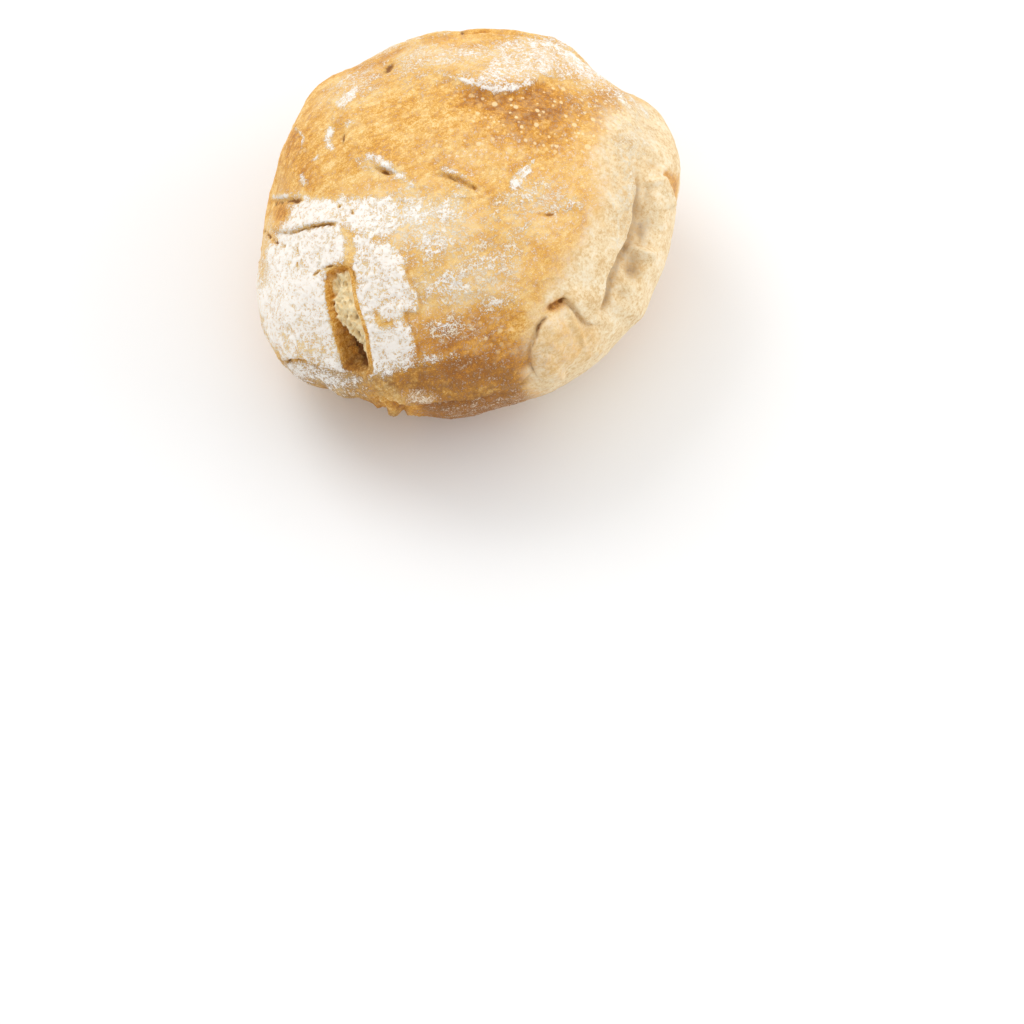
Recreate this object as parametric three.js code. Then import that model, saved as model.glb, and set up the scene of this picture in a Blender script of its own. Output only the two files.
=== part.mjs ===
// A crusty hand-shaped bread roll, baked as one piece and standing on a small flat foot.
// Millimetres, +Z up. The origin is on the table, under the middle of the roll.
import * as THREE from "three";
import { mergeVertices } from "three/addons/utils/BufferGeometryUtils.js";

// Driving dimensions: the rounded lump of dough before its folds.
const HALF_WIDTH = 52.5; // along X
const HALF_DEPTH = 52; // along Y
const HALF_HEIGHT = 36; // along Z, with the underside still round
const WAIST_HEIGHT = 30; // the widest level, above the table
const EDGE_CUTS = 18; // cuts in each edge of the icosahedron that the lump is rounded from

// The face is the side that looks forward and up, tilted back this far from upright.
// On it, across is +X, up runs to the back and the top, and out is square to both.
const FACE_TILT = THREE.MathUtils.degToRad(58);
const ACROSS = new THREE.Vector3(1, 0, 0);
const UP = new THREE.Vector3(0, Math.sin(FACE_TILT), Math.cos(FACE_TILT));
const OUT = new THREE.Vector3(0, -Math.cos(FACE_TILT), Math.sin(FACE_TILT));
const FACE_EDGE = 14; // the folds fade over this depth where the face turns to the sides

// The roll's outline seen square to the face: a radius every 15 degrees, from across towards up.
const OUTLINE_RADII = [
  53.3, 58.0, 58.4, 52.3, 53.2, 50.3, 47.6, 47.9, 47.4, 50.4, 49.2, 48.8,
  49.8, 52.0, 55.0, 54.6, 50.2, 48.2, 47.2, 45.2, 46.2, 48.1, 49.5, 51.6,
];

// Soft swellings and hollows: the direction from the middle as [across, up, out], spread, height.
const SWELLINGS = [
  { towards: [0.25, 0.75, 0.6], spread: 0.34, height: 1.6 }, // roll of dough folded over at the top
  { towards: [-0.62, -0.3, 0.72], spread: 0.4, height: 1.4 }, // floury shoulder beside the tear
  { towards: [0.05, -0.62, 0.78], spread: 0.42, height: -1.5 }, // sunken front, above the lip
  { towards: [0.3, -0.95, 0.1], spread: 0.3, height: 1.2 }, // lip that hangs over the foot
  { towards: [-0.1, 0.9, -0.45], spread: 0.4, height: 1.8 }, // back
  { towards: [0.75, 0.2, -0.65], spread: 0.35, height: -1.6 }, // right side, behind the brim
  { towards: [-0.8, 0.3, -0.5], spread: 0.38, height: -1.3 }, // left side, near the back
];

// Folds, creases and the tear, as lines on the face: [across, up] points, half width, depth.
// A depth below zero stands proud.
const FOLDS = [
  { path: [[42, 12], [41, -1], [36, -11], [33, -20], [31, -27]], halfWidth: 6, depth: 2.2 }, // brim
  { path: [[-31, -12], [-31, -21], [-26, -34]], halfWidth: 5.5, depth: 1.8 }, // tear
  { path: [[-2, 37], [8, 35], [20, 39], [31, 38]], halfWidth: 5, depth: -1.1 }, // folded-over edge
  { path: [[22, -26], [23, -33]], halfWidth: 6, depth: -0.9 }, // lobe below the brim
];

// Radius of the outline at an angle, smooth between the given radii.
function outlineRadius(angle) {
  const count = OUTLINE_RADII.length;
  const turn = THREE.MathUtils.euclideanModulo(angle / (2 * Math.PI), 1) * count;
  const start = Math.floor(turn);
  const t = turn - start;
  const [before, from, to, after] = [-1, 0, 1, 2].map((step) => OUTLINE_RADII[(start + step + count) % count]);
  const slopeFrom = (to - before) / 2;
  const slopeTo = (after - from) / 2;
  const cubic = 2 * from - 2 * to + slopeFrom + slopeTo;
  const square = -3 * from + 3 * to - 2 * slopeFrom - slopeTo;
  return ((cubic * t + square) * t + slopeFrom) * t + from;
}

// Distance from a point on the face to the nearest place on a line of points.
function distanceToPath(across, up, path) {
  const point = new THREE.Vector3(across, up, 0);
  const nearest = new THREE.Vector3();
  let distance = Infinity;
  for (let i = 1; i < path.length; i += 1) {
    const start = new THREE.Vector3(...path[i - 1], 0);
    const end = new THREE.Vector3(...path[i], 0);
    new THREE.Line3(start, end).closestPointToPoint(point, true, nearest);
    distance = Math.min(distance, nearest.distanceTo(point));
  }
  return distance;
}

// How far the skin moves out, in the direction of a point of the plain lump.
function reliefAt(direction, across, up, out) {
  let relief = 0;
  for (const { towards, spread, height } of SWELLINGS) {
    const middle = new THREE.Vector3(...towards).normalize();
    const offset = direction.distanceTo(middle) / spread;
    relief += height * Math.exp(-offset * offset);
  }
  const onFace = THREE.MathUtils.smoothstep(out, 0, FACE_EDGE);
  for (const { path, halfWidth, depth } of FOLDS) {
    const offset = distanceToPath(across, up, path) / halfWidth;
    relief -= onFace * depth * Math.exp(-offset * offset * 1.5);
  }
  return relief;
}

// The roll: an egg-shaped lump, stretched to its outline, creased, and flattened where it stands.
function makeRoll() {
  const lump = new THREE.IcosahedronGeometry(1, EDGE_CUTS);
  lump.deleteAttribute("normal");
  lump.deleteAttribute("uv");
  const roll = mergeVertices(lump, 1e-5);
  const silhouetteUp = Math.hypot(HALF_DEPTH * UP.y, HALF_HEIGHT * UP.z);
  const middle = new THREE.Vector3(0, 0, WAIST_HEIGHT);
  const place = roll.getAttribute("position");
  const point = new THREE.Vector3();
  for (let i = 0; i < place.count; i += 1) {
    point.fromBufferAttribute(place, i);
    point.multiply(new THREE.Vector3(HALF_WIDTH, HALF_DEPTH, HALF_HEIGHT));
    let across = point.dot(ACROSS);
    let up = point.dot(UP);
    const out = point.dot(OUT);
    const plainFraction = Math.hypot(across / HALF_WIDTH, up / silhouetteUp);
    const plainRadius = Math.hypot(across, up) / Math.max(plainFraction, 1e-6);
    const stretch = outlineRadius(Math.atan2(up, across)) / plainRadius - 1;
    const share = 1 + stretch * Math.min(1, plainFraction) ** 2;
    across *= share;
    up *= share;
    const direction = new THREE.Vector3(across, up, out).normalize();
    const grow = 1 + reliefAt(direction, across, up, out) / Math.hypot(across, up, out);
    point.set(0, 0, 0);
    point.addScaledVector(ACROSS, across * grow);
    point.addScaledVector(UP, up * grow);
    point.addScaledVector(OUT, out * grow);
    point.add(middle);
    point.z = Math.max(point.z, 0);
    place.setXYZ(i, point.x, point.y, point.z);
  }
  roll.computeBoundingBox();
  const centre = roll.boundingBox.getCenter(new THREE.Vector3());
  roll.translate(-centre.x, -centre.y, 0);
  roll.computeVertexNormals();
  return roll;
}

const crust = new THREE.MeshStandardMaterial({ color: 0xe6bd84, roughness: 0.85, metalness: 0 });

const breadRoll = new THREE.Mesh(makeRoll(), crust);
breadRoll.name = "bread_roll";

const part = new THREE.Group();
part.add(breadRoll);

export default part;
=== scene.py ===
"""A crusty, floured bread roll standing on a pale table, lit from above and behind."""

import math

import bmesh
import bpy
import numpy as np
from mathutils import Matrix, Vector, kdtree, noise
from mathutils.bvhtree import BVHTree


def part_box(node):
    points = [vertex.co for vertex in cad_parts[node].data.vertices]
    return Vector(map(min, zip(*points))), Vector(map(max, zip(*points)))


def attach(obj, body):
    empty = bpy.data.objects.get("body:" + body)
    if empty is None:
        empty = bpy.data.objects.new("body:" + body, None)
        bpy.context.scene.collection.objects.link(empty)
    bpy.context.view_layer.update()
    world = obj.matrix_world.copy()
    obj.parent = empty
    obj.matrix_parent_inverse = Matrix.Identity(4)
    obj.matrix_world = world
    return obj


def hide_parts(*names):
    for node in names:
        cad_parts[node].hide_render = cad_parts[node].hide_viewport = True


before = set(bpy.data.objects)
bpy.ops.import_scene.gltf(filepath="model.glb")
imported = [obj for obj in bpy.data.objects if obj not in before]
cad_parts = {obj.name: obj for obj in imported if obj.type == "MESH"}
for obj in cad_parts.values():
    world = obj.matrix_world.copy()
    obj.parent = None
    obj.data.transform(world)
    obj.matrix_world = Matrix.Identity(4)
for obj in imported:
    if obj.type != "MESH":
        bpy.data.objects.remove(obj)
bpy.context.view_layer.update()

MM = 0.001
NODE = "bread_roll"

# The face that shows best looks out and up by this much; its two directions, and the view of it.
FACE_TILT = math.radians(58)
FACE_OUT = Vector((0, -math.cos(FACE_TILT), math.sin(FACE_TILT)))
FACE_UP = Vector((0, math.sin(FACE_TILT), math.cos(FACE_TILT)))
CAMERA_DISTANCE = 1.3
VIEW_WIDTH = 0.2566
VIEW_MIDDLE = Vector((0.0107, 0, 0.03))
VIEW_DROP = 0.0723

TABLE_REACH = 3.0
BLISTERS = 2000

# The way the dough was stretched: along the face, up to the right.
STREAK_TURN = (Matrix.Rotation(math.pi / 2 - FACE_TILT, 3, "X")
               @ Matrix.Rotation(math.radians(33), 3, "Z")).to_euler("XYZ")

# Colours of the crust, each list from the palest or lowest to the brownest or highest.
BAKED = [(0.0, (0.92, 0.68, 0.34)), (0.25, (0.85, 0.52, 0.155)), (0.5, (0.71, 0.335, 0.05)),
         (0.75, (0.54, 0.22, 0.034)), (1.0, (0.35, 0.125, 0.022))]
UNBAKED_DOUGH = [(0.35, (0.72, 0.48, 0.23)), (0.5, (0.87, 0.68, 0.41)), (0.65, (0.94, 0.81, 0.60))]
CRUMB = [(0.3, (0.80, 0.54, 0.24)), (0.5, (0.98, 0.80, 0.47)), (0.7, (1.0, 0.92, 0.70))]
BLISTER = (0.96, 0.75, 0.42, 1)
# The colour of painted shade, laid in hollows, cracks, under the lip and low on the front.
SHADE_COLOUR = (0.26, 0.11, 0.03, 1)
FLOUR_HAZE = (1.0, 0.87, 0.67, 1)
FLOUR = (1.0, 0.955, 0.89, 1)

# Light: how bright the studio is in front of the roll, behind it, and where the camera sees it,
# how far back the change from front to back starts and ends, and the two lamps in watts.
FRONT_GLOW = 0.76
BACK_GLOW = 1.07
BACKDROP_GLOW = 1.0
SIDE_START = -0.7
SIDE_END = 0.1
KEY_POWER = 2.7
FILL_POWER = 1.6


# ---------------------------------------------------------------- small tools

def ease(value, start, end):
    """0 before start, 1 after end, and a smooth rise between them."""
    share = np.clip((value - start) / (end - start), 0.0, 1.0)
    return share * share * (3.0 - 2.0 * share)


def hump(value, width):
    """1 at zero, falling smoothly away to nothing at about two widths."""
    return np.exp(-(value / width) ** 2)


def fade(share, opening=0.15, closing=0.15):
    """1 along most of a line, easing to 0 at its two ends."""
    return ease(share, 0, opening) * ease(1 - share, 0, closing)


def trace(points, closed=False, step=0.3):
    """A smooth line through the given points, as places about a step apart."""
    points = np.array(points, float)
    if closed:
        run = np.vstack([points[-1:], points, points[:2]])
    else:
        run = np.vstack([2 * points[0] - points[1], points, 2 * points[-1] - points[-2]])
    line = []
    for before, start, end, after in zip(run, run[1:], run[2:], run[3:]):
        count = max(2, int(np.linalg.norm(end - start) / step))
        t = (np.arange(count) / count)[:, None]
        leave = (end - before) / 2
        arrive = (after - start) / 2
        square = 3 * (end - start) - 2 * leave - arrive
        cube = leave + arrive - 2 * (end - start)
        line.append(start + t * leave + t ** 2 * square + t ** 3 * cube)
    if not closed:
        line.append(points[-1:])
    return np.vstack(line)


# ---------------------------------------------------------------- the skin and its sides

class Skin:
    """The roll's vertices while they are being shaped, in millimetres, and what is laid on them."""

    # How brown it baked, caked flour, a haze of flour, torn crumb, unbaked dough, painted shade in
    # hollows, cracks and low on the front, and where blisters crowd.
    LAYERS = ("bake", "flour", "film", "crumb", "pale", "painted_shade", "spotted")

    def __init__(self, mesh):
        self.mesh = mesh
        self.count = len(mesh.vertices)
        self.place = np.empty(self.count * 3)
        mesh.vertices.foreach_get("co", self.place)
        self.place = self.place.reshape(-1, 3) / MM
        self.start = self.place.copy()
        self.layers = {name: np.zeros(self.count) for name in self.LAYERS}
        self.settle()

    def settle(self):
        """Write the vertices back to the mesh and take its new normals."""
        self.mesh.vertices.foreach_set("co", (self.place * MM).ravel())
        self.mesh.update()
        normals = np.empty(self.count * 3, np.float32)
        self.mesh.vertex_normals.foreach_get("vector", normals)
        self.normal = normals.reshape(-1, 3).astype(float)

    def grain(self, size, seed=0, stretch=(1, 1, 1)):
        """Smooth noise from -1 to 1, in lumps of about this size in millimetres."""
        points = self.start * (np.array(stretch) / size) + seed * 17.3
        return np.fromiter((noise.noise(p) for p in points), float, self.count)

    def lift(self, amount, who=slice(None)):
        """Move the skin outwards, square to itself."""
        self.place[who] += self.normal[who] * np.asarray(amount)[..., None]

    def paint(self, layer, amount, who=slice(None)):
        """Lay at least this much of a layer on."""
        self.layers[layer][who] = np.maximum(self.layers[layer][who], amount)

    def wipe(self, layer, share, who=slice(None)):
        """Take this share of a layer off."""
        self.layers[layer][who] *= 1 - np.clip(share, 0, 1)

    def dust_off(self, share, who=slice(None)):
        """Take this share of the flour off, the caked and the hazy alike."""
        self.wipe("flour", share, who)
        self.wipe("film", share, who)

    def finish(self):
        """Store the layers on the mesh, where the crust's material reads them."""
        self.settle()
        for name, values in self.layers.items():
            layer = self.mesh.attributes.new(name, "FLOAT", "POINT")
            layer.data.foreach_set("value", np.clip(values, 0, 1.5).astype(np.float32))


class Side:
    """One side of the roll, seen flat: places on it are [across, up] in millimetres."""

    def __init__(self, skin, out, across, distance):
        self.skin = skin
        self.axis_out = np.array(out) / np.linalg.norm(out)
        self.axis_up = np.cross(self.axis_out, across)
        self.axis_up /= np.linalg.norm(self.axis_up)
        self.axis_across = np.cross(self.axis_up, self.axis_out)
        depth = skin.place @ self.axis_out
        flat = np.stack([skin.place @ self.axis_across, skin.place @ self.axis_up], axis=1)
        self.middle = (flat.min(0) + flat.max(0)) / 2
        self.half_way = (depth.min() + depth.max()) / 2
        self.distance = distance
        self.look()

    def look(self):
        """Where each vertex is now, as seen from this distance in millimetres."""
        skin = self.skin
        self.out = skin.place @ self.axis_out - self.half_way
        flat = np.stack([skin.place @ self.axis_across, skin.place @ self.axis_up], axis=1)
        self.flat = (flat - self.middle) * (self.distance / (self.distance - self.out))[:, None]

    def boxed(self, line, reach, behind=3):
        """The vertices close around a line, and at most this far behind the side's outline."""
        low = line.min(0) - reach
        high = line.max(0) + reach
        within = np.all((self.flat > low) & (self.flat < high), axis=1)
        return np.flatnonzero(within & (self.out > -behind))

    def near(self, points, reach):
        """The vertices near a line: who, how far to its left, how far along it, and its left."""
        line = trace(points)
        who = self.boxed(line, reach)
        forward = np.gradient(line, axis=0)
        forward /= np.linalg.norm(forward, axis=1)[:, None]
        travelled = np.concatenate([[0], np.cumsum(np.linalg.norm(np.diff(line, axis=0), axis=1))])
        nearest = np.empty(len(who), int)
        for start in range(0, len(who), 4000):
            block = self.flat[who[start:start + 4000]]
            nearest[start:start + 4000] = ((block[:, None] - line) ** 2).sum(2).argmin(1)
        offset = self.flat[who] - line[nearest]
        left = np.stack([-forward[nearest, 1], forward[nearest, 0]], axis=1)
        beside = np.hypot(*offset.T) * np.where((offset * left).sum(1) < 0, -1, 1)
        keep = np.abs(beside) < reach
        return who[keep], beside[keep], travelled[nearest[keep]] / travelled[-1], left[keep]

    def inside(self, points, behind=3):
        """How far each vertex lies inside a closed outline, below zero outside it."""
        line = trace(points, closed=True)
        after = np.roll(line, -1, axis=0)
        rise = after[:, 1] - line[:, 1]
        rise = np.where(np.abs(rise) < 1e-9, 1e-9, rise)
        depth = np.full(self.skin.count, -99.0)
        who = self.boxed(line, 8, behind)
        for start in range(0, len(who), 4000):
            rows = who[start:start + 4000]
            block = self.flat[rows]
            gap = np.sqrt(((block[:, None] - line) ** 2).sum(2).min(1))
            x = block[:, :1]
            y = block[:, 1:]
            spans = (line[:, 1] > y) != (after[:, 1] > y)
            crossing = (after[:, 0] - line[:, 0]) * (y - line[:, 1]) / rise + line[:, 0]
            within = (spans & (x < crossing)).sum(1) % 2 == 1
            depth[rows] = np.where(within, gap, -gap)
        return depth

    def spot(self, across, up, wide, tall=None, turn=0.0):
        """1 at a place on this side, falling away over its half width and half height."""
        offset = self.flat - (across, up)
        cos = math.cos(math.radians(turn))
        sin = math.sin(math.radians(turn))
        along = offset[:, 0] * cos + offset[:, 1] * sin
        over = -offset[:, 0] * sin + offset[:, 1] * cos
        return hump(along, wide) * hump(over, tall or wide) * ease(self.out, -8, 4)

    def slide(self, who, left, amount):
        """Move the skin sideways, towards the left of a line."""
        skin = self.skin
        push = left[:, :1] * self.axis_across + left[:, 1:] * self.axis_up
        push -= (push * skin.normal[who]).sum(1)[:, None] * skin.normal[who]
        skin.place[who] += push * amount[:, None]


# ---------------------------------------------------------------- marks that a baker's hands leave

def step(side, points, height, width=0.8, fall=6.0, lean=0.0, ends=0.15):
    """One skin lying over another along a line: the left is higher, and may lean over the right."""
    who, beside, share, left = side.near(points, fall * 2)
    strength = fade(share, ends, ends) * ease(side.out[who], -2, 5)
    high = ease(beside, -width, width) * hump(np.maximum(beside, 0), fall)
    under = 0.45 * hump(beside + 1.6 * width, 1.4 * width)
    side.skin.lift(height * strength * (high - under), who)
    if lean:
        side.slide(who, left, -lean * strength * hump(beside - 0.6 * width, width))


def crease(side, points, depth, width, shoulder=0.3, ends=0.2):
    """A groove along a line, with the skin pushed up a little on both sides of it."""
    who, beside, share, _ = side.near(points, width * 5)
    strength = fade(share, ends, ends)
    groove = hump(beside, width)
    raised = shoulder * hump(np.abs(beside) - 2 * width, width)
    side.skin.lift(depth * strength * (raised - groove), who)


def crack(side, points, depth, width, painted_shade=0.9, ends=0.15):
    """A thin split in the crust, with painted shade in it."""
    skin = side.skin
    who, beside, share, _ = side.near(points, width * 6)
    beside = beside + (0.2 + 0.9 * width) * skin.ragged[who]
    strength = fade(share, ends, ends) * np.clip(0.75 + 1.1 * skin.patchy[who], 0.25, 1.25)
    skin.lift(-depth * strength * hump(beside, width), who)
    skin.paint("painted_shade", painted_shade * strength * hump(beside, width), who)
    skin.dust_off(1.4 * strength * hump(beside, 1.3 * width), who)


def pit(side, across, up, wide, tall, depth, turn=0.0, painted_shade=0.6):
    """A small hollow of uneven outline, with painted shade inside."""
    skin = side.skin
    inside = side.spot(across, up, wide, tall, turn) * np.clip(1 + 0.8 * skin.ragged, 0.2, 1.5)
    skin.lift(-depth * inside)
    skin.paint("painted_shade", painted_shade * inside ** 2)
    skin.dust_off(2 * painted_shade * inside ** 2)


def flour_patch(side, points, amount, soft=1.6, ragged=1.2):
    """Flour caked on inside an outline, with a ragged edge."""
    depth = side.inside(points) + ragged * side.skin.ragged
    side.skin.paint("flour", amount * ease(depth, -soft, soft) * ease(side.out, -3, 1))


def flour_line(side, points, amount, width):
    """A wisp of flour along a line."""
    who, beside, share, _ = side.near(points, width * 3)
    strength = fade(share, 0.1, 0.3) * hump(beside + 0.4 * width * side.skin.ragged[who], width)
    side.skin.paint("flour", amount * strength, who)


def daub(side, layer, spots, share=1.0):
    """Lay a layer on in soft spots: across, up, half width, half height, turn in degrees, amount."""
    for across, up, wide, tall, turn, amount in spots:
        side.skin.paint(layer, share * amount * side.spot(across, up, wide, tall, turn))


def swell(side, spots):
    """Raise the skin in soft spots: across, up, half width, half height, turn in degrees, height."""
    for across, up, wide, tall, turn, height in spots:
        side.skin.lift(height * side.spot(across, up, wide, tall, turn))


# ---------------------------------------------------------------- the face
#
# Places on the face are [across, up] from its middle, in millimetres.

RIDGE = [(-19, 38), (-14, 38.6), (-9, 37.6), (-4, 36), (1, 34.4), (5, 33.2), (9, 32.8), (13, 33.4),
         (17, 34.9), (21, 36.6), (26, 37.2), (31, 36.4)]
ABOVE_RIDGE = [(-1, 35.4), (4, 34), (9, 33.4), (13, 34), (18, 36), (22, 36.6), (27, 35.4), (32, 35.2),
               (37, 31.4), (43, 27), (46, 29), (40, 37), (30, 44), (18, 49), (9, 50), (5, 47), (5, 42),
               (3, 38)]
BRIM = [(39.5, 19), (41, 10), (40.8, 4.5), (40.8, 0), (38.5, -5.6), (36.6, -9), (34.8, -13),
        (34, -17), (33, -20), (32, -24.5)]
FLAP = [(24, -17.6), (26.7, -20.6), (28.9, -23.6), (30.7, -24.5), (33, -24.3)]
LOBE = [(21, -22.4), (18.4, -25.4), (17.1, -29), (16, -32), (16.6, -35.5), (18.6, -38), (23.2, -38.6),
        (25, -36.6)]
LIP = [(-38, -40), (-33, -41), (-29.3, -41.3), (-25.6, -41.1), (-22.4, -40.5), (-20.3, -40.3),
       (-18.4, -41.4), (-15.9, -42.3), (-12.6, -42.8), (-9.2, -42.7), (-4.6, -42.2), (0.7, -41.6),
       (5.8, -40.3), (10.7, -38.8), (14.4, -37.4), (17.2, -35.6)]
PINCH = [(-24, -41), (-20, -40), (-13, -43), (-12.6, -48), (-20, -48)]
TEAR_LEFT = [(-30.2, -10.3), (-33, -11), (-35, -12), (-35.6, -15.4), (-35.5, -18.8), (-34.7, -22.9),
             (-33.5, -27.6), (-32.2, -32), (-30.6, -36.5)]
TEAR_RIGHT = [(-29.4, -11.3), (-29, -14), (-28.7, -16.6), (-28.2, -19.4), (-27.1, -22.6), (-26, -25.6),
              (-25.2, -28.6), (-24.9, -31.4), (-24.4, -34.4), (-24.6, -37)]
STRIP = [(-44, 6), (-42, 7.3), (-36, 6.4), (-30, 6.8), (-25, 6.9), (-19, 6.2), (-16, 3), (-17, -2),
         (-22, -3.4), (-27, -2.6), (-32, -1.6), (-36, -0.9), (-40.2, -1.8), (-44, -3), (-47.8, -3),
         (-46.8, 0), (-45.5, 3)]
LEFT_PLATE = [(-50.6, -6.6), (-48.8, -4.4), (-48, -1.6), (-44, -1), (-40.2, 0.2), (-36, 1), (-31.6, 1),
              (-30.4, -3), (-30, -8), (-31.6, -10.2), (-34.6, -11.6), (-35, -15), (-35, -19), (-34, -23),
              (-32.8, -28), (-31.6, -32.4), (-30, -36.4), (-36, -35), (-41, -33.4), (-46, -33.8),
              (-51, -28), (-54, -16), (-52.6, -9)]
LOW_PLATE = [(-46, -34.8), (-41, -34.1), (-37, -35.8), (-31, -37), (-27, -37.4), (-33, -40),
             (-39, -39.6), (-44, -38.4)]
RIGHT_PLATE = [(-28, -3), (-20, -4.6), (-15.9, -8.5), (-15.4, -13.5), (-12.9, -17.8), (-12.6, -21.6),
               (-16, -21.9), (-15.5, -24.7), (-14.6, -26.9), (-13.5, -29.4), (-13.2, -33.9),
               (-15.3, -36), (-19, -36.8), (-24.6, -36.5), (-26.2, -31), (-27.2, -26.5), (-28.6, -22.5),
               (-29.8, -18.5), (-30, -14), (-29, -9)]
GOLDEN_GAP = [(-32.4, -0.4), (-30.6, -1.4), (-28.6, -3.6), (-28, -7), (-28.6, -10.4), (-30.4, -10.2),
              (-31, -7), (-31.2, -4)]
PLATE_EDGE = RIGHT_PLATE[10:1:-1]
SPLIT = [(48.9, 12.6), (50.6, 13.4), (53, 12.2), (53.4, 8), (52.2, 4.2), (51, 6.6), (50, 9.6)]
UNBAKED = [(35, 27), (33.5, 8), (28, -6), (20, -19), (15.5, -33), (20, -45), (45, -45), (62, -20),
           (62, 22), (48, 30)]


def shape_folds(face):
    """The big folds: the roll of dough at the top, the brim at the right, and the lip at the foot."""
    skin = face.skin
    step(face, RIDGE, 1.3, width=1.5, fall=6, lean=0.5, ends=0.4)
    swell(face, [
        (24, 27, 14, 8, -15, 0.9),  # blistered swelling below the fold
        (4, 29, 9, 3.5, 5, -0.7),  # valley that runs under the fold
        (-30, 26, 10, 7, 40, 0.5),  # upper left cheek
        (-18, -28, 6, 9, 10, 0.7),  # beside the tear
        (0, -26, 12, 8, 10, -0.8),  # sunken front
        (10, 8, 14, 10, 20, 0.4),  # middle
        (-7, 14, 9, 5, -30, -0.5),  # hollow that holds the cracks
    ])
    who, beside, share, _ = face.near(BRIM, 14)
    strength = fade(share, 0.3, 0.12) * ease(face.out[who], -3, 4)
    pillow = 1.0 * hump(beside + 3.5, 3.5)
    valley = 2.6 * ease(beside, -0.5, 0.5) * hump(np.maximum(beside - 1.2, 0), 2.8)
    rim = 1.2 * hump(beside - 8.5, 2.8)
    skin.lift(strength * (pillow - valley + rim), who)
    # Painted shade in the valley.
    skin.paint("painted_shade", 0.17 * strength * valley, who)
    swell(face, [
        (47, 27, 7, 6, -40, -2.2),  # shoulder at the upper right
        (34, 37.5, 5, 3.5, -35, 1.9),  # end of the fold above that
        (-53, 3, 7, 14, 0, -1.9),  # left flank
        (-50, 8, 5, 7, 0, -1.5),
        (-40, 33, 8, 5, 45, -1.7),  # upper left shoulder
        (-22, -46, 12, 5, -20, -1.2),  # foot at the lower left
        (-33, -41, 10, 4, -12, -1.2),
    ])
    skin.settle()
    face.look()


def shape_brim(face):
    """Dimples in the pale fold, the flap that ends it, the lobe under that, and a golden split."""
    skin = face.skin
    for across, up, wide, tall, depth, turn in [
        (43.4, -1, 3.0, 3.1, 2.3, 10), (42.2, 4, 1.6, 2, 1.2, -10), (44.6, 7.6, 1.3, 3, 1.5, -12),
        (41.5, -10.6, 3.1, 5.0, 2.4, 25), (38.6, -17.6, 2.2, 2, 1.4, 20), (46.4, 15, 3, 2, 1.7, -25),
        (36.6, -23, 1.8, 2.2, 0.5, 0), (44, 18.4, 1.4, 1.8, 0.5, 20),
    ]:
        dimple = depth * face.spot(across, up, wide, tall, turn)
        skin.lift(-(1 + 0.35 * skin.patchy) * dimple)
        # Painted shade in the dimple.
        skin.paint("painted_shade", 0.19 * dimple)
    for points, height, width in [  # little ridges between the dimples
        ([(38.6, -5.6), (41, -6), (44, -7.2), (47, -8.8)], 1.6, 1.1),
        ([(38.4, -6.4), (40.4, -8.6), (42, -11.4)], 0.5, 0.8),
        ([(44.2, 17.4), (45.4, 14.6), (47.4, 13.4), (49.6, 13.8)], 0.6, 0.8),
        ([(44, 9.8), (46, 10.6), (48.6, 11)], 0.5, 0.8),
        ([(45.6, 8), (47.6, 4), (48.4, -2)], 0.4, 1.2),
    ]:
        crease(face, points, -height, width, 0.4)
    for points, height in [(BRIM[::-1], 0.85), (FLAP, 1.3), (LOBE, 0.9)]:
        step(face, points, height, width=0.4, fall=4, lean=0.5, ends=0.12)
    crack(face, [(24, -18.4), (26.3, -21.3), (28.6, -23.6)], 0.4, 0.35, painted_shade=0.3)
    crack(face, LOBE[:6], 0.8, 0.4, painted_shade=0.6)
    crack(face, LOBE[5:], 0.4, 0.4, painted_shade=0.3)
    crease(face, [(25.2, -21), (25.6, -24.7), (27.4, -28.4), (29.2, -31)], -0.7, 1.0)
    bare = face.spot(22.4, -20.4, 3.2, 1.4, 30)
    skin.wipe("pale", 1.2 * bare)
    skin.paint("bake", 0.8 * bare)
    pit(face, 21.8, -20.6, 2.4, 1.1, 1.6, turn=30, painted_shade=0.9)
    pit(face, 23.9, -19.4, 1.6, 0.8, 1.0, turn=40, painted_shade=0.9)
    lobe = hump(np.maximum(0, 4 - face.inside(LOBE + [(34, -32), (31, -25), (26, -21.4)])), 3)
    lobe *= ease(face.out, -3, 4)
    skin.lift(lobe * (0.6 * skin.patchy + 0.3 * skin.fine + 1.5))
    skin.wipe("pale", lobe * (0.35 + 0.5 * skin.patchy))
    step(face, [(51.6, 3.6), (50.8, 7), (49.6, 10.4), (48.6, 12.6)], 1.1, width=0.3, fall=3, lean=0.4)
    golden = ease(face.inside(SPLIT) + 0.9 * skin.ragged, -0.6, 0.9)
    golden *= ease(face.out + 2 * skin.ragged, -4, 0)
    skin.lift(-0.7 * golden)
    skin.wipe("pale", 0.85 * golden)
    skin.paint("bake", 0.58 * golden)
    skin.dust_off(4 * skin.layers["painted_shade"] * skin.layers["pale"])
    skin.settle()
    face.look()


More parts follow.
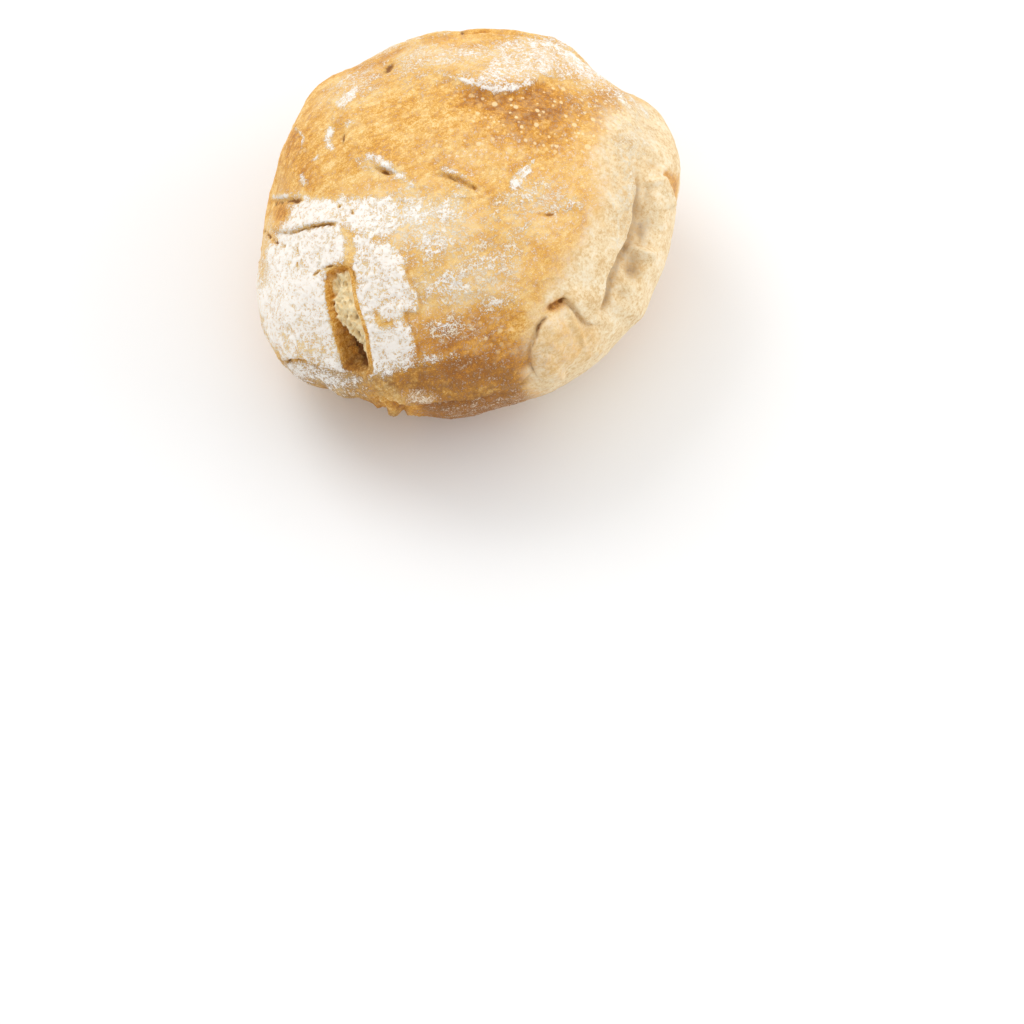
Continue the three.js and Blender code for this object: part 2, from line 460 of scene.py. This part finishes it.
def shape_lip(face):
    """The lip that hangs over the foot, and the pinched seam that closes it, with painted shade under
    the lip and low on the front.
    """
    skin = face.skin
    step(face, LIP, 2.9, width=0.6, fall=4.5, lean=1.6, ends=0.14)
    # A painted shadow under the lip's edge.
    crack(face, [(across, up - 0.9) for across, up in LIP[2:]], 0.9, 1.0, painted_shade=0.85)
    pit(face, -4, -44.4, 6.5, 1.6, 1.6, turn=4, painted_shade=0.5)
    pit(face, -15.4, -44.6, 2.2, 1.6, 1.9, turn=-30, painted_shade=1.0)
    pit(face, 8, -42, 6, 1.5, 1.1, turn=20, painted_shade=0.45)
    crease(face, [(-20.2, -40.3), (-19.6, -42.6), (-17.6, -45), (-15, -47.6)], 1.5, 0.6)
    crease(face, [(-23, -41), (-22.4, -43.4), (-20, -46), (-18, -48)], 1.2, 0.6)
    crumbly = hump(face.inside(PINCH) - 2, 2.4)
    skin.lift(crumbly * (1.5 * skin.ragged + 0.8))
    skin.wipe("bake", 0.45 * crumbly)
    # Painted shade on the belly under the lip and over the whole lower front, less on the pale dough and
    # the pinched seam.
    shade = 0.75 + skin.mottled + 0.8 * skin.patchy
    skin.paint("painted_shade", 0.5 * shade * face.spot(2, -45.5, 34, 3.5, 6))
    low = ease(-face.flat[:, 1], 27, 38) * ease(face.out, -8, 4) * (1 - skin.layers["pale"])
    low *= 1 - 0.6 * crumbly
    skin.paint("painted_shade", (0.5 + 0.12 * skin.patchy) * low)
    skin.settle()
    face.look()


def shape_tear(face):
    """The burst at the lower left: a thick brown wall, pale torn crumb, a thin golden rim, and painted
    shade between the strands and in the throat.
    """
    skin = face.skin
    within = face.inside(TEAR_LEFT + TEAR_RIGHT[::-1])
    who = np.flatnonzero(within > -4)
    far = 9.0
    wall = np.full(skin.count, far)
    rows, beside, _, _ = face.near(TEAR_LEFT, far)
    wall[rows] = beside
    rim = np.full(skin.count, far)
    rows, beside, _, _ = face.near(TEAR_RIGHT, far)
    rim[rows] = -beside
    down = -face.flat[:, 1]
    throat = ease(down + 1.7 * rim, 34.5, 39) * ease(down, 20, 26)
    sink = 1.6 + 3.2 * throat
    taper = ease(within, -0.2, 0.9 + 0.8 * ease(down, 30, 35))
    opening = ease(wall, -0.1, 1.3) * ease(rim, -0.2, 1.9) * taper
    webs = 0.6 - np.abs(2.6 * skin.grain(1.9, 3, (1.3, 0.7, 0.7)))
    threads = 0.5 - np.abs(2.4 * skin.grain(0.8, 4, (1.2, 0.5, 0.5)))
    shelf = 1.3 * hump(rim - 3.2, 1.3) * ease(down, 14, 20) * ease(-down, -29, -24)
    floor = -sink + shelf + 1.0 * webs + 0.9 * threads
    skin.lift((opening * floor)[who], who)
    # Painted shade between the torn strands.
    skin.paint("painted_shade", opening * np.clip(-0.4 * webs - 0.4 * threads, 0, 0.45))
    lips = hump(wall + 1.4, 1.6) * (within < 0) + 0.7 * hump(rim + 1.2, 1.3) * (within < 0)
    skin.lift(0.4 * np.minimum(lips, 1)[who], who)
    thick = 0.9 + 0.8 * ease(down, 22, 33)
    brown = (within > 0) * (1 - ease(wall + 0.3 * skin.fine, thick, thick + 0.7))
    golden = (within > -1) * (1 - ease(rim + 0.3 * skin.fine, 0.4, 1.2))
    pale = ease(within, 0, 0.5) * ease(wall + 0.3 * skin.fine, 1.0, 1.6) * ease(rim, 0.3, 0.9)
    reach = down + 1.7 * rim + 1.8 * skin.fine
    skin.paint("crumb", pale * (1 - ease(reach, 35, 38) * ease(down, 20, 26)))
    bare = within + np.where(rim < wall, 0.8, 0.1) + 0.3 * skin.ragged
    skin.dust_off(ease(bare, -0.2, 0.3))
    for place, shade in ((brown, 0.56), (golden, 0.45)):
        skin.layers["bake"] = skin.layers["bake"] * (1 - place) + shade * place
    # Painted shade deep in the throat.
    skin.paint("painted_shade", 1.1 * opening * throat * ease(wall, thick - 0.4, thick + 1.2))
    skin.settle()
    face.look()


def shape_marks(face):
    """Cracks, burst bubbles and loose edges on the face."""
    skin = face.skin
    for across, up, wide, tall, turn, rough in [
        (-19, 12.6, 8, 3, -35, 0.45),
        (-2, 11, 7, 3, -25, 0.45),
        (14, 12, 4, 3, 50, 0.4),
        (20, 4, 7, 3, 0, 0.35),
        (-20, -22, 6, 12, 0, 0.22),
        (-22, 40, 5, 4, 30, 0.3),
        (-33, 22, 4, 5, 0, 0.25),
        (6, -17, 12, 4, 10, 0.25),
    ]:
        skin.lift(rough * face.spot(across, up, wide, tall, turn) * skin.ragged)
    # Between the caked strip and the left plate, and on them.
    step(face, [(-50, -0.5), (-46.5, -2.1), (-40.2, -0.6), (-36, 0.3), (-32, 0.6)], 0.7, 0.3, 3, 0.3)
    crack(face, [(-31.8, -0.9), (-33.5, 0), (-36, -0.1), (-40.2, -0.9), (-43.8, -2), (-47.2, -2.1)],
          0.5, 0.32, 0.8)
    crack(face, [(-51.5, -1.2), (-49.1, -3.8), (-47, -5.2), (-45.2, -5.8)], 0.7, 0.45, 0.9)
    crack(face, [(-42.5, -5.1), (-42.8, -6.6), (-42.2, -8.4)], 0.5, 0.4, 1.1)
    crack(face, [(-42.4, -9.4), (-42.6, -10.8)], 0.3, 0.3, 0.8)
    crack(face, [(-50, 5.6), (-47, 5.3), (-43.6, 5.9), (-40.4, 5.4)], 0.6, 0.5, 0.9)
    crack(face, [(-29.3, 3.6), (-28.9, 2.2)], 0.3, 0.3, 0.8)
    crack(face, [(-32.6, 4.9), (-31.8, 4.2)], 0.3, 0.35, 0.8)
    # On the right plate, round the tear, and along the bottom of the left plate.
    crack(face, [(-24, -20.8), (-22.6, -23.6), (-21, -25), (-17.4, -24.8)], 0.2, 0.8, 0.25, ends=0.3)
    step(face, PLATE_EDGE, 0.7, 0.35, 3, 0.35)
    crack(face, [(-28.6, -11.4), (-28.2, -14.6), (-27.4, -17)], 0.3, 0.35, 0.7)
    step(face, [(-49.5, 6.7), (-43, 6.6)], 0.5, 0.3, 2.5, 0.2)
    crack(face, [(-39, -13), (-36, -11.2), (-33, -10.6), (-30.6, -10.3)], 0.5, 0.4, 0.8)
    step(face, [(-47, -34), (-43, -33.2), (-41, -33.6), (-37, -35.3), (-31.2, -36.7)], 0.9, 0.4, 3, 0.3)
    crack(face, [(-46.5, -34.4), (-43, -33.8), (-40.6, -34.2)], 0.5, 0.4, 0.7)
    # Peeling skin in the middle.
    crack(face, [(-7, 12.4), (-3, 11.3), (0, 9.7), (2.8, 8.6)], 0.5, 0.45, 0.8)
    step(face, [(-8, 12.8), (-3, 11.7), (0, 10.1), (3, 9)], 0.6, 0.3, 2, 0.2)
    crack(face, [(17.2, 2.7), (19.5, 2.3), (22, 2.5)], 0.4, 0.35, 0.7)
    pit(face, -20.6, 13.2, 2.0, 0.8, 1.3, turn=-12, painted_shade=1.0)
    step(face, [(-23.5, 14), (-20.5, 14.2), (-18.2, 12.9)], 0.7, 0.35, 3, 0.4)
    # Burst bubbles at the upper left, and loose edges elsewhere.
    pit(face, -33.4, 22, 1.9, 3, 1.2, turn=-8, painted_shade=0)
    pit(face, -31.7, 21.6, 0.6, 2.3, 1.2, turn=-6, painted_shade=1.2)
    pit(face, -22.6, 41.4, 0.9, 1.6, 1.2, turn=20, painted_shade=0.8)
    pit(face, -20.4, 39.2, 2.2, 1.1, 1.4, turn=35, painted_shade=0.95)
    step(face, [(-23.6, 42.6), (-21.6, 40.8), (-18.6, 41)], 0.7, 0.3, 2, 0.3)
    step(face, [(-43.6, 24), (-41.5, 21.6), (-41.8, 18.3)], 0.5, 0.3, 2)
    step(face, [(16, -15.3), (19.7, -14), (23.6, -13.6)], 0.3, 0.3, 3)
    step(face, [(7, -30.4), (8.6, -29.3), (10.5, -28.3), (12.2, -27.3)], 0.5, 0.3, 3)
    skin.settle()
    face.look()


def dust_face(face):
    """Where flour lies on the face, as a thin film or caked on."""
    skin = face.skin
    daub(face, "film", [
        (-12, 0, 20, 10, -8, 1.0),
        (2, -14, 18, 9, 20, 0.85),
        (-4, -24, 14, 8, 15, 0.55),
        (16, 0, 16, 8, 20, 0.55),
        (-28, 37, 12, 6, 35, 0.7),
        (-8, 43, 16, 5, 5, 0.7),
        (16, 43, 18, 6, -15, 0.5),
        (38, 33, 9, 6, -45, 0.3),
        (18, 5, 12, 8, 20, 0.8),
        (-47, -12, 8, 14, 0, 1.0),
        (-30, 12, 22, 14, 20, 0.16),
        (0, 15, 24, 10, 5, 0.34),
        (27, 12, 9, 14, 0, 0.42),
        (-11, -41.5, 5, 1.2, -10, 0.95),
        (8, -45, 26, 4, 8, 0.35),
        (6, -34, 20, 8, 12, 0.2),
    ], share=0.8)
    skin.paint("flour", 0.05 * ease(face.out, -5, 10))
    daub(face, "flour", [
        (8, 38.5, 12, 2.4, 20, 0.5),
        (23, 4.5, 6, 2, 10, 0.62),
        (14.5, -1, 3, 1.8, 25, 0.6),
        (-3, 10.6, 5, 1.3, -25, 0.6),
        (-15.5, 10.6, 4, 1.5, -35, 0.62),
        (-24.5, 14.8, 4, 1.8, -30, 0.6),
        (-13, 2.4, 10, 6, 0, 0.76),
        (-5, 3.4, 6, 4.4, 40, 0.76),
        (-9, -4, 11, 6, 0, 0.68),
        (5, -9, 12, 6, 30, 0.6),
        (-5, -15.6, 9, 5, 0, 0.72),
        (6.6, -19.6, 6, 2.6, 10, 0.6),
        (-5, -25.4, 6, 3, 20, 0.58),
        (-9, -33.6, 6, 1.6, 5, 0.6),
        (14, 6, 12, 5, 20, 0.42),
        (-28, 36, 12, 7, 35, 0.5),
        (-12, 42, 10, 6, 30, 0.46),
        (-48, -10, 8, 16, 0, 0.5),
        (-33, -38, 9, 2.4, -10, 0.6),
        (40, 6, 5, 16, 0, 0.34),
        (41, 20, 6, 7, 0, 0.4),
    ])
    flour_patch(face, ABOVE_RIDGE, 0.64, soft=2.2, ragged=2.4)
    flour_patch(face, STRIP, 0.92)
    flour_patch(face, LEFT_PLATE, 1.0, soft=1.4)
    flour_patch(face, LOW_PLATE, 0.85)
    flour_patch(face, RIGHT_PLATE, 0.95)
    flour_patch(face, [(10.4, 9.6), (12, 8.6), (16.6, 14.6), (15.6, 16), (12, 13)], 0.8, 0.7, 0.9)
    gap = 0.5 * ease(face.inside(GOLDEN_GAP) + 0.6 * skin.ragged, -0.6, 0.8)
    skin.dust_off(gap)
    skin.wipe("bake", gap)
    skin.dust_off(1.2 * face.spot(-46.5, 2.6, 2.6, 3))
    flour_line(face, [(across, up + 0.7) for across, up in RIDGE[3:9]], 1.05, 0.55)
    flour_line(face, [(across, up + 0.6) for across, up in RIDGE[4:1:-1]], 0.75, 0.5)
    skin.wipe("flour", 0.5 * face.spot(-51.6, -11, 1.6, 6) + 0.35 * face.spot(-42, -31, 10, 3))
    flour_line(face, [(-33.4, 29), (-30, 31.8), (-26.4, 35)], 0.95, 1.5)
    flour_line(face, [(-31, 24.2), (-28, 26.3)], 0.7, 0.8)
    flour_line(face, [(-34.4, 25), (-35.2, 21), (-33.6, 17)], 0.8, 0.8)
    flour_line(face, [(-43.4, 24.2), (-41, 21.4), (-41.4, 18.2)], 0.8, 0.4)
    flour_line(face, [(-38.8, 15.6), (-37, 17.4)], 0.7, 0.5)
    flour_line(face, [(-49.5, 6.9), (-43, 6.9)], 0.9, 0.5)
    flour_line(face, [(-41.8, 12.6), (-40.6, 9)], 0.8, 0.8)
    flour_line(face, [(-26.4, 17.2), (-22, 15.6), (-17.5, 12.2), (-13, 9.6)], 0.85, 1.3)
    flour_line(face, [(-7.5, 13.6), (-3, 12.6), (1, 10.6)], 0.75, 0.9)


def bake_face(face):
    """How brown each part of the face has baked, where it blistered, and where it stayed pale; low on
    the front the browning is partly painted shade.
    """
    skin = face.skin
    daub(face, "bake", [
        (16, 29, 20, 8.5, -6, 0.88),
        (2, 31.5, 10, 5, -5, 0.76),
        (17, 22, 16, 8, -12, 0.7),
        (34, 29, 9, 9, -40, 0.72),
        (2, 46, 30, 5, 0, 0.56),
        (-24, 37, 12, 8, 30, 0.52),
        (0, 31, 12, 5, 0, 0.55),
        (8, 22, 18, 8, 10, 0.55),
        (-43, 18, 5, 18, 20, 0.66),
        (-20, 17, 12, 5, 20, 0.5),
        (-4, 14, 14, 8, -20, 0.5),
        # These three make the front browner towards the foot: partly browner crust, partly painted
        # shade.
        (-2, -28, 20, 8, 12, 0.9),
        (2, -35, 24, 6, 8, 1.0),
        (0, -46, 36, 7, 0, 1.0),
        (-47, 3, 3, 4, 0, 0.7),
    ])
    daub(face, "spotted", [
        (20, 27, 20, 9, -8, 1.0),
        (36, 24, 8, 10, -40, 0.8),
        (0, 20, 16, 6, 0, 0.5),
        (-43, 18, 6, 16, 20, 0.35),
        (6, -28, 14, 6, 12, 0.4),
        (-25, 30, 16, 8, 30, 0.3),
    ])
    depth = face.inside(UNBAKED, behind=18) + 2.5 * skin.patchy + 1.5 * skin.mottled
    round_the_side = ease(face.out + 3 * skin.patchy + 3 * skin.mottled, -13, -3)
    skin.paint("pale", ease(depth, -5, 3) * round_the_side)


# ---------------------------------------------------------------- the other sides

def make_back(back):
    """The far side, which bakes hotter: a long shallow burst and a few floury places."""
    crease(back, [(-28, 10), (-12, 15), (6, 12), (24, 16)], 1.6, 1.5, 0.5)
    crack(back, [(-26, 10.4), (-12, 15.3), (6, 12.2), (22, 15.6)], 0.8, 0.7, 0.8)
    step(back, [(-38, -6), (-20, -10), (0, -8), (18, -13), (34, -9)], 1.2, 0.9, 5, 0.4)
    crack(back, [(8, 12), (12, 4), (10, -4)], 0.5, 0.5, 0.7)
    daub(back, "flour", [
        (-20, 16, 16, 8, 10, 0.85),
        (22, 4, 12, 10, 30, 0.7),
        (-6, -2, 10, 6, 0, 0.6),
        (4, 24, 20, 6, 0, 0.55),
        (-34, 0, 8, 10, 0, 0.6),
    ])
    daub(back, "bake", [
        (0, -4, 30, 9, 0, 0.65),
        (30, 16, 12, 10, 0, 0.6),
        (-26, -4, 14, 9, 0, 0.7),
    ])


def make_foot(skin):
    """The underside: flat, browned on the oven floor, and dusty with flour."""
    height = skin.place[:, 2]
    skin.paint("bake", 0.8 * ease(-height, -9, -1))
    skin.paint("flour", 0.5 * ease(-height, -4, 0))


# ---------------------------------------------------------------- fine relief all over

def texture_skin(skin):
    """Undulations, flakes of skin, raised flour and blisters."""
    flakes = ease(skin.mottled + 0.5 * skin.patchy + 0.35 * skin.fine, 0.05, 0.22)
    flakes *= 0.35 + 0.65 * np.minimum(1, skin.layers["film"] + skin.layers["flour"])
    flakes *= 1 - skin.layers["crumb"]
    skin.layers["flour"] = skin.layers["flour"] + 0.16 * (flakes - 0.4) * (skin.layers["flour"] > 0.1)
    cover = ease(skin.layers["flour"] + 0.2 * skin.patchy + 0.2 * skin.fine, 0.45, 0.65)
    skin.lift(0.14 * flakes + 0.1 * cover + 0.05 * cover * skin.fine)
    skin.lift(0.4 * skin.broad + 0.2 * skin.mottled + 0.07 * skin.patchy + 0.05 * skin.fine)
    scatter_blisters(skin)
    skin.place[:, 2] = np.maximum(skin.place[:, 2], 0)
    skin.settle()


def scatter_blisters(skin):
    """Small round blisters, crowded where the crust baked hardest."""
    random = np.random.default_rng(11)
    tree = kdtree.KDTree(skin.count)
    for index, place in enumerate(skin.start):
        tree.insert(place, index)
    tree.balance()
    layers = skin.layers
    weight = 0.15 + 0.3 * layers["bake"] - 0.5 * layers["flour"] + 2 * layers["spotted"]
    weight = np.clip(weight * (1 - layers["crumb"]) * (1 - layers["pale"]), 0, None)
    on_the_foot = skin.start[:, 2] < 1
    weight[on_the_foot] = 0
    picks = random.choice(skin.count, BLISTERS, replace=False, p=weight / weight.sum())
    rise = np.zeros(skin.count)
    for pick in picks:
        radius = random.uniform(0.35, 0.8)
        height = radius * random.uniform(0.12, 0.3)
        for place, index, distance in tree.find_range(skin.start[pick], radius):
            dome = 1 - (distance / radius) ** 2
            rise[index] = max(rise[index], height * dome)
    skin.lift(rise)
    full_blister = 0.16
    layers["blister"] = np.clip(rise / full_blister, 0, 1)


# ---------------------------------------------------------------- the roll

def smooth_lump():
    """A fine, even mesh lying on the CAD roll, with the CAD facets smoothed away."""
    solid = bmesh.new()
    solid.from_mesh(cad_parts[NODE].data)
    bmesh.ops.remove_doubles(solid, verts=solid.verts, dist=0.00001)
    tree = BVHTree.FromBMesh(solid)
    solid.free()
    low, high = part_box(NODE)
    heart = Vector((0, 0, high.z * 0.45))  # a place inside that sees the whole skin
    lump = bmesh.new()
    bmesh.ops.create_icosphere(lump, subdivisions=7, radius=1.0)
    for vertex in lump.verts:
        vertex.co = tree.ray_cast(heart, vertex.co.normalized())[0]
    above_foot = [v for v in lump.verts if v.co.z > low.z + 0.2 * MM]
    for _ in range(12):
        bmesh.ops.smooth_vert(lump, verts=above_foot, factor=0.5,
                              use_axis_x=True, use_axis_y=True, use_axis_z=True)
    return lump


def refine(lump, chosen):
    """Split each chosen triangle in four."""
    faces = [face for face in lump.faces if chosen(face.calc_center_median() / MM)]
    edges = {edge for face in faces for edge in face.edges}
    bmesh.ops.subdivide_edges(lump, edges=list(edges), cuts=1, use_grid_fill=True)
    bmesh.ops.triangulate(lump, faces=lump.faces)


def make_roll():
    """The roll as one closed mesh."""
    lump = smooth_lump()
    middle = Vector((0, 0, 30))

    def on_the_face(place):
        return (place - middle) @ FACE_OUT > 9

    def by_the_tear(place):
        in_front = (place - middle) @ FACE_OUT > 0
        return in_front and -38 < place.x < -22 and -39 < (place - middle) @ FACE_UP < -9

    refine(lump, on_the_face)
    refine(lump, by_the_tear)
    mesh = bpy.data.meshes.new("roll")
    lump.to_mesh(mesh)
    lump.free()
    skin = Skin(mesh)
    skin.broad = skin.grain(16, 1)
    skin.mottled = skin.grain(6, 2)
    skin.patchy = skin.grain(2.6, 3)
    skin.fine = skin.grain(1.1, 4)
    skin.ragged = 0.6 * skin.patchy + 0.6 * skin.fine
    face = Side(skin, FACE_OUT, (1, 0, 0), CAMERA_DISTANCE / MM)
    back = Side(skin, (0.15, 0.95, 0.1), (-1, 0, 0), CAMERA_DISTANCE / MM)
    skin.layers["bake"] += 0.36 + 0.1 * skin.broad
    shape_folds(face)
    bake_face(face)
    dust_face(face)
    make_back(back)
    make_foot(skin)
    shape_brim(face)
    shape_lip(face)
    shape_tear(face)
    shape_marks(face)
    texture_skin(skin)
    skin.finish()
    mesh.shade_smooth()
    roll = bpy.data.objects.new("roll", mesh)
    bpy.context.scene.collection.objects.link(roll)
    return roll


# ---------------------------------------------------------------- finishes

class Finish:
    """A material and short ways to add nodes to it."""

    def __init__(self, name):
        self.material = bpy.data.materials.new(name)
        self.material.use_nodes = True
        self.tree = self.material.node_tree
        self.shader = self.tree.nodes["Principled BSDF"]
        self.place = self.tree.nodes.new("ShaderNodeTexCoord").outputs["Object"]

    def put(self, socket, value):
        if isinstance(value, bpy.types.NodeSocket):
            self.tree.links.new(value, socket)
        else:
            socket.default_value = value

    def layer(self, name):
        node = self.tree.nodes.new("ShaderNodeAttribute")
        node.attribute_name = name
        return node.outputs["Fac"]

    def math(self, operation, a, b=0.0, clamp=False):
        node = self.tree.nodes.new("ShaderNodeMath")
        node.operation = operation
        node.use_clamp = clamp
        self.put(node.inputs[0], a)
        self.put(node.inputs[1], b)
        return node.outputs[0]

    def range(self, value, start, end, low=0.0, high=1.0):
        """Low before start, high after end, and a smooth change between them."""
        node = self.tree.nodes.new("ShaderNodeMapRange")
        node.interpolation_type = "SMOOTHSTEP"
        for socket, number in zip(node.inputs[:5], (value, start, end, low, high)):
            self.put(socket, number)
        return node.outputs[0]

    def stir(self, value, noises, start, end):
        """A value raised and lowered by noises, each by at most its own strength."""
        for noise_value, strength in noises:
            value = self.math("ADD", value, self.range(noise_value, start, end, -strength, strength))
        return value

    def turned(self, turn, stretch):
        """Object places in turned axes, drawn out along them."""
        node = self.tree.nodes.new("ShaderNodeMapping")
        node.vector_type = "TEXTURE"
        node.inputs["Rotation"].default_value = turn
        node.inputs["Scale"].default_value = stretch
        self.put(node.inputs["Vector"], self.place)
        return node.outputs[0]

    def noise(self, size, detail=3.0, roughness=0.55, place=None):
        """Noise around 0.5, in lumps of about this size in millimetres."""
        node = self.tree.nodes.new("ShaderNodeTexNoise")
        node.inputs["Scale"].default_value = 1 / (size * MM)
        node.inputs["Detail"].default_value = detail
        node.inputs["Roughness"].default_value = roughness
        self.put(node.inputs["Vector"], place or self.place)
        return node.outputs["Fac"]

    def dots(self, size, radius, share):
        """Small round dots, about one for each cell of this size, on a share of the cells."""
        node = self.tree.nodes.new("ShaderNodeTexVoronoi")
        node.inputs["Scale"].default_value = 1 / (size * MM)
        self.put(node.inputs["Vector"], self.place)
        split = self.tree.nodes.new("ShaderNodeSeparateColor")
        self.put(split.inputs[0], node.outputs["Color"])
        reach = self.math("MULTIPLY", split.outputs[1], radius)
        dot = self.range(self.math("SUBTRACT", node.outputs["Distance"], reach), 0.05, -0.05)
        return self.math("MULTIPLY", dot, self.math("LESS_THAN", split.outputs[0], share))

    def blend(self, share, a, b):
        node = self.tree.nodes.new("ShaderNodeMix")
        node.data_type = "RGBA"
        self.put(node.inputs["Factor"], share)
        self.put(node.inputs["A"], a)
        self.put(node.inputs["B"], b)
        return node.outputs["Result"]

    def ramp(self, value, stops):
        node = self.tree.nodes.new("ShaderNodeValToRGB")
        elements = node.color_ramp.elements
        while len(elements) < len(stops):
            elements.new(0.5)
        for element, (position, colour) in zip(elements, stops):
            element.position = position
            element.color = (*colour, 1)
        self.put(node.inputs[0], value)
        return node.outputs[0]


def crust_material():
    """Baked crust, from pale dough to blistered brown, with flour, crumb and painted shade."""
    crust = Finish("crust")
    mottle = crust.noise(5, 5, 0.7)
    drift = crust.noise(2.6, 6, 0.75)
    grain = crust.noise(1.0, 5, 0.75)
    dust = crust.noise(0.38, 3, 0.75)
    streaks = crust.noise(1.6, 5, 0.7, crust.turned(STREAK_TURN, (4, 0.8, 1)))

    specks = ((mottle, 0.13), (drift, 0.09), (streaks, 0.13), (grain, 0.12), (dust, 0.2))
    colour = crust.ramp(crust.stir(crust.layer("bake"), specks, 0.35, 0.65), BAKED)
    tone = crust.stir(grain, ((mottle, 0.1),), 0.3, 0.7)
    colour = crust.blend(crust.layer("pale"), colour, crust.ramp(tone, UNBAKED_DOUGH))
    spotted = crust.range(crust.layer("spotted"), 0.05, 0.6, 0, 0.78)
    for size, radius in ((1.4, 0.38), (2.3, 0.32), (3.2, 0.26)):
        spots = crust.math("MULTIPLY", crust.dots(size, radius, 0.6), spotted)
        colour = crust.blend(spots, colour, BLISTER)
    colour = crust.blend(crust.math("MULTIPLY", crust.layer("blister"), 0.2), colour, BLISTER)
    colour = crust.blend(crust.layer("crumb"), colour, crust.ramp(grain, CRUMB))
    # Painted shade, unevened by the grain, in the shade colour.
    rough_edge = crust.range(grain, 0.3, 0.7, 0.75, 1.25)
    shade = crust.math("MULTIPLY", crust.layer("painted_shade"), rough_edge)
    colour = crust.blend(crust.range(shade, 0.15, 0.75), colour, SHADE_COLOUR)

    film = crust.layer("film")
    haze = crust.stir(film, ((drift, 0.15), (streaks, 0.13), (grain, 0.27), (dust, 0.36)), 0.34, 0.66)
    haze = crust.math("MULTIPLY", crust.range(haze, 0.25, 1.0), crust.range(film, 0, 0.25, 0, 0.85))
    colour = crust.blend(haze, colour, FLOUR_HAZE)
    flour = crust.layer("flour")
    cover = crust.stir(flour, ((drift, 0.24), (streaks, 0.18)), 0.3, 0.7)
    cover = crust.stir(cover, ((grain, 0.32), (dust, 0.4)), 0.36, 0.64)
    cover = crust.math("MULTIPLY", crust.range(cover, 0.32, 0.86), crust.range(flour, 0, 0.2))
    laid = crust.blend(crust.range(flour, 0.3, 0.65), FLOUR_HAZE, FLOUR)
    colour = crust.blend(crust.math("MULTIPLY", cover, 0.94), colour, laid)
    crust.put(crust.shader.inputs["Base Color"], colour)
    crust.put(crust.shader.inputs["Roughness"], crust.range(cover, 0, 1, 0.62, 0.95))
    crust.shader.inputs["Specular IOR Level"].default_value = 0.18

    height = crust.math("MULTIPLY", grain, 0.6)
    for part, share in ((dust, 0.5), (cover, 0.22), (streaks, 0.2)):
        height = crust.math("ADD", height, crust.math("MULTIPLY", part, share))
    bump = crust.tree.nodes.new("ShaderNodeBump")
    bump.inputs["Strength"].default_value = 0.8
    bump.inputs["Distance"].default_value = 0.5 * MM
    crust.put(bump.inputs["Height"], height)
    crust.put(crust.shader.inputs["Normal"], bump.outputs[0])
    return crust.material


def table_material():
    table = Finish("pale table")
    table.shader.inputs["Base Color"].default_value = (0.86, 0.86, 0.86, 1)
    table.shader.inputs["Roughness"].default_value = 0.7
    return table.material


# ---------------------------------------------------------------- stage

def make_table():
    mesh = bpy.data.meshes.new("table")
    sheet = bmesh.new()
    bmesh.ops.create_grid(sheet, x_segments=1, y_segments=1, size=TABLE_REACH)
    sheet.to_mesh(mesh)
    sheet.free()
    mesh.materials.append(table_material())
    table = bpy.data.objects.new("table", mesh)
    bpy.context.scene.collection.objects.link(table)


def add_light(name, place, size, power):
    """A soft square lamp, aimed at the roll."""
    lamp = bpy.data.lights.new(name, "AREA")
    lamp.shape = "SQUARE"
    lamp.size = size
    lamp.energy = power
    holder = bpy.data.objects.new(name, lamp)
    holder.location = place
    aim = Vector((0, 0, 0.03)) - Vector(place)
    holder.rotation_euler = aim.to_track_quat("-Z", "Y").to_euler()
    bpy.context.scene.collection.objects.link(holder)


def add_camera():
    """A long lens looking down square at the roll's face, with the roll high in the view."""
    lens = bpy.data.cameras.new("camera")
    lens.sensor_width = 36
    lens.lens = lens.sensor_width * CAMERA_DISTANCE / VIEW_WIDTH
    holder = bpy.data.objects.new("camera", lens)
    holder.location = VIEW_MIDDLE + FACE_OUT * CAMERA_DISTANCE
    aim = VIEW_MIDDLE - FACE_UP * VIEW_DROP
    holder.rotation_euler = (aim - holder.location).to_track_quat("-Z", "Y").to_euler()
    bpy.context.scene.collection.objects.link(holder)
    bpy.context.scene.camera = holder


def light_stage():
    """Bright soft light from above, behind and both sides, little from the front."""
    scene = bpy.context.scene
    scene.view_settings.view_transform = "Standard"
    world = bpy.data.worlds.new("studio")
    world.use_nodes = True
    scene.world = world
    tree = world.node_tree
    direction = tree.nodes.new("ShaderNodeSeparateXYZ")
    tree.links.new(tree.nodes.new("ShaderNodeTexCoord").outputs["Generated"], direction.inputs[0])
    glow = tree.nodes.new("ShaderNodeMapRange")
    glow.interpolation_type = "SMOOTHSTEP"
    for socket, value in zip(glow.inputs[1:5], (SIDE_START, SIDE_END, FRONT_GLOW, BACK_GLOW)):
        socket.default_value = value
    tree.links.new(direction.outputs["Y"], glow.inputs[0])
    seen = tree.nodes.new("ShaderNodeMix")
    seen.inputs["B"].default_value = BACKDROP_GLOW
    tree.links.new(tree.nodes.new("ShaderNodeLightPath").outputs["Is Camera Ray"], seen.inputs["Factor"])
    tree.links.new(glow.outputs[0], seen.inputs["A"])
    tree.links.new(seen.outputs["Result"], tree.nodes["Background"].inputs["Strength"])
    tree.nodes["Background"].inputs["Color"].default_value = (1, 1, 1, 1)
    add_light("key", (-0.45, 0.45, 0.8), 0.5, KEY_POWER)
    add_light("fill", (0.7, 0.0, 0.4), 0.6, FILL_POWER)


roll = make_roll()
roll.data.materials.append(crust_material())
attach(roll, "root")
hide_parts(NODE)
make_table()
light_stage()
add_camera()
